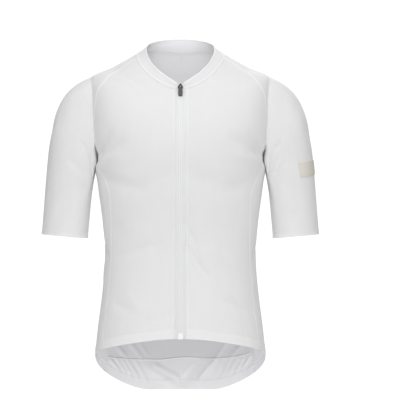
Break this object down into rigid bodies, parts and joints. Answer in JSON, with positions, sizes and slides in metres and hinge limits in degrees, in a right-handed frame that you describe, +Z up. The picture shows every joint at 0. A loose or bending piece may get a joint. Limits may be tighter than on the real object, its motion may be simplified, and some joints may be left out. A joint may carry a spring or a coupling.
{
  "type": "cycling jersey",
  "caption": "Short-sleeved cycling jersey with a stand collar, full front zip, side panels, dropped back hem and rear pockets, in its worn, filled-out shape.",
  "frame": {"origin": "between the two shoulder points at the side of the neck, where the wearer carries the jersey", "axes": "+Z up along the body, -Y towards the front, +X towards the wearer's left"},
  "size_m": [0.5684, 0.2458, 0.734],
  "materials": {
    "white_jersey": "fine matt knit",
    "white_mesh": "open knit side panel",
    "white_elastic": "ribbed elastic gripper",
    "zip_white": "woven tape and coil",
    "label_beige": "woven patch",
    "slider_black": "satin black"
  },
  "bodies": {
    "garment": {"front_left": "white_jersey", "front_right": "white_jersey", "back": "white_jersey", "hem_gripper": "white_elastic", "side_left": "white_mesh", "side_right": "white_mesh", "sleeve_left": "white_jersey", "sleeve_right": "white_jersey", "collar": "white_jersey", "rear_pockets": "white_jersey", "zip_tape_left": "zip_white", "zip_tape_right": "zip_white", "zip_chain": "zip_white", "zip_box": "zip_white", "sleeve_label": "label_beige", "zip_slider": "slider_black"},
    "pull_tab": {"zip_pull_tab": "slider_black"}
  },
  "joints": [
    {"name": "pull_tab_hinge", "type": "hinge", "parent": "garment", "child": "pull_tab", "pos_m": [0, -0.0898, -0.0632], "axis": [-1, 0, 0], "range_deg": [0, 160]}
  ]
}
